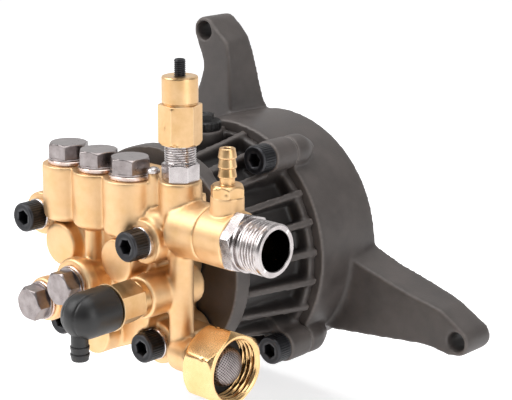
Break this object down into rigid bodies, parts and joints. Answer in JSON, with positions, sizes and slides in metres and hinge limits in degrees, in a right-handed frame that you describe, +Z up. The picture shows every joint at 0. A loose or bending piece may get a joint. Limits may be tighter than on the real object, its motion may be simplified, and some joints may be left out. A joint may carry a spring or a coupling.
{
  "type": "pressure washer pump",
  "caption": "Axial cam pressure washer pump with a brass valve head, finned crankcase, engine flange, unloader, threaded outlet, hose inlet and relief valve.",
  "frame": {"origin": "centre of the engine mounting face, on the drive shaft axis", "axes": "+Y towards the engine along the shaft, -Y towards the valve head, +X towards the water outlet, +Z up"},
  "size_m": [0.1893, 0.1701, 0.1779],
  "materials": {
    "cast_brass": "sand-cast and blasted, satin",
    "turned_brass": "turned, lightly brushed",
    "polished_brass": "forged and polished",
    "painted_casting": "satin dark grey coat on cast aluminium",
    "black_steel": "black oxide",
    "nickel_plate": "nickel plated, bright",
    "bright_steel": "zinc plated",
    "ring_metal": "bonded sealing washer",
    "ground_steel": "ground",
    "spring_steel": "drawn wire",
    "valve_plastic": "moulded acetal",
    "seal_rubber": "moulded nitrile",
    "black_nylon": "moulded nylon"
  },
  "bodies": {
    "pump": {"bleed_screw": "nickel_plate", "case_bolts": "black_steel", "crankcase": "painted_casting", "detergent_barb": "turned_brass", "detergent_check_spring": "spring_steel", "discharge_plug_rings": "ring_metal", "discharge_plugs": "bright_steel", "discharge_valve_seats": "ground_steel", "discharge_valve_springs": "spring_steel", "front_plug_rings": "ring_metal", "front_plugs": "bright_steel", "head_bolt_washers": "nickel_plate", "head_bolts": "black_steel", "head_gasket": "seal_rubber", "injector_body": "cast_brass", "injector_venturi": "turned_brass", "inlet_filter": "ground_steel", "inlet_hose_washer": "seal_rubber", "inlet_tailpiece": "turned_brass", "inlet_valve_cages": "valve_plastic", "inlet_valve_seats": "ground_steel", "inlet_valve_springs": "spring_steel", "mounting_flange": "painted_casting", "oil_fill_plug": "black_nylon", "outlet_nipple": "nickel_plate", "packing_retainers": "turned_brass", "plunger_guides": "turned_brass", "plunger_oil_seals": "seal_rubber", "plunger_spring_1": "spring_steel", "plunger_spring_2": "spring_steel", "plunger_spring_3": "spring_steel", "pressure_seals": "seal_rubber", "pump_head": "cast_brass", "shaft_bearing_balls": "ground_steel", "shaft_bearing_outer_race": "ground_steel", "shaft_oil_seal": "seal_rubber", "thermal_valve": "turned_brass", "unloader_body": "nickel_plate", "unloader_spring": "spring_steel", "water_seals": "seal_rubber"},
    "shaft": {"drive_shaft": "ground_steel", "swash_plate": "ground_steel", "thrust_bearing": "ground_steel", "shaft_bearing_inner_race": "ground_steel"},
    "unloader_pusher": {"unloader_pusher": "ground_steel"},
    "unloader_cap": {"unloader_cap": "turned_brass", "unloader_stop_screw": "black_steel"},
    "unloader_piston": {"unloader_piston": "ground_steel"},
    "check_ball": {"detergent_check_ball": "ground_steel"},
    "inlet_nut": {"inlet_swivel_nut": "polished_brass"},
    "elbow": {"thermal_elbow": "black_nylon"},
    "plunger_1": {"plunger_1": "ground_steel"},
    "inlet_valve_1": {"inlet_poppet_1": "valve_plastic"},
    "discharge_valve_1": {"discharge_poppet_1": "valve_plastic"},
    "plunger_2": {"plunger_2": "ground_steel"},
    "inlet_valve_2": {"inlet_poppet_2": "valve_plastic"},
    "discharge_valve_2": {"discharge_poppet_2": "valve_plastic"},
    "plunger_3": {"plunger_3": "ground_steel"},
    "inlet_valve_3": {"inlet_poppet_3": "valve_plastic"},
    "discharge_valve_3": {"discharge_poppet_3": "valve_plastic"}
  },
  "joints": [
    {"name": "shaft_spin", "type": "hinge", "parent": "pump", "child": "shaft", "pos_m": [0, 0, 0], "axis": [0, 1, 0], "continuous": true},
    {"name": "plunger_1_stroke", "type": "slide", "parent": "pump", "child": "plunger_1", "axis": [0, -1, 0], "range_m": [0, 0.0073], "stiffness_N_per_m": 4607, "springref_m": -0.003, "deforming": ["plunger_spring_1"]},
    {"name": "inlet_valve_1_lift", "type": "slide", "parent": "pump", "child": "inlet_valve_1", "axis": [0, 1, 0], "range_m": [0, 0.0016], "stiffness_N_per_m": 434, "springref_m": -0.001, "deforming": ["inlet_valve_springs"]},
    {"name": "discharge_valve_1_lift", "type": "slide", "parent": "pump", "child": "discharge_valve_1", "axis": [0, 0, 1], "range_m": [0, 0.0018], "stiffness_N_per_m": 857, "springref_m": -0.001, "deforming": ["discharge_valve_springs"]},
    {"name": "plunger_2_stroke", "type": "slide", "parent": "pump", "child": "plunger_2", "axis": [0, -1, 0], "range_m": [0, 0.0073], "stiffness_N_per_m": 4607, "springref_m": -0.003, "deforming": ["plunger_spring_2"]},
    {"name": "inlet_valve_2_lift", "type": "slide", "parent": "pump", "child": "inlet_valve_2", "axis": [0, 1, 0], "range_m": [0, 0.0016], "stiffness_N_per_m": 434, "springref_m": -0.001, "deforming": ["inlet_valve_springs"]},
    {"name": "discharge_valve_2_lift", "type": "slide", "parent": "pump", "child": "discharge_valve_2", "axis": [0, 0, 1], "range_m": [0, 0.0018], "stiffness_N_per_m": 857, "springref_m": -0.001, "deforming": ["discharge_valve_springs"]},
    {"name": "plunger_3_stroke", "type": "slide", "parent": "pump", "child": "plunger_3", "axis": [0, -1, 0], "range_m": [0, 0.0073], "stiffness_N_per_m": 4607, "springref_m": -0.003, "deforming": ["plunger_spring_3"]},
    {"name": "inlet_valve_3_lift", "type": "slide", "parent": "pump", "child": "inlet_valve_3", "axis": [0, 1, 0], "range_m": [0, 0.0016], "stiffness_N_per_m": 434, "springref_m": -0.001, "deforming": ["inlet_valve_springs"]},
    {"name": "discharge_valve_3_lift", "type": "slide", "parent": "pump", "child": "discharge_valve_3", "axis": [0, 0, 1], "range_m": [0, 0.0018], "stiffness_N_per_m": 857, "springref_m": -0.001, "deforming": ["discharge_valve_springs"]},
    {"name": "unloader_pusher_slide", "type": "slide", "parent": "pump", "child": "unloader_pusher", "axis": [0, 0, 1], "range_m": [-0.005, 0.004], "deforming": ["unloader_spring"]},
    {"name": "unloader_cap_turn", "type": "hinge", "parent": "unloader_pusher", "child": "unloader_cap", "pos_m": [0.043, -0.114, 0.082], "axis": [0, 0, 1], "range_deg": [-1201, 961]},
    {"name": "unloader_piston_lift", "type": "slide", "parent": "pump", "child": "unloader_piston", "axis": [0, 0, 1], "range_m": [0, 0.0025], "stiffness_N_per_m": 33736, "springref_m": -0.004, "deforming": ["unloader_spring"]},
    {"name": "check_ball_lift", "type": "slide", "parent": "pump", "child": "check_ball", "axis": [0, 0, 1], "range_m": [-0.0012, 0], "stiffness_N_per_m": 987, "springref_m": 0.0005, "deforming": ["detergent_check_spring"]},
    {"name": "inlet_nut_swivel", "type": "hinge", "parent": "pump", "child": "inlet_nut", "pos_m": [0.066, -0.114, -0.0246], "axis": [1, 0, 0], "continuous": true},
    {"name": "elbow_swivel", "type": "hinge", "parent": "pump", "child": "elbow", "pos_m": [0.0344, -0.15, 0.0014], "axis": [0, -1, 0], "continuous": true}
  ],
  "couplings": [
    {"joint": "unloader_cap_turn", "follows": "unloader_pusher_slide", "rad_per_m": 4188.8}
  ]
}
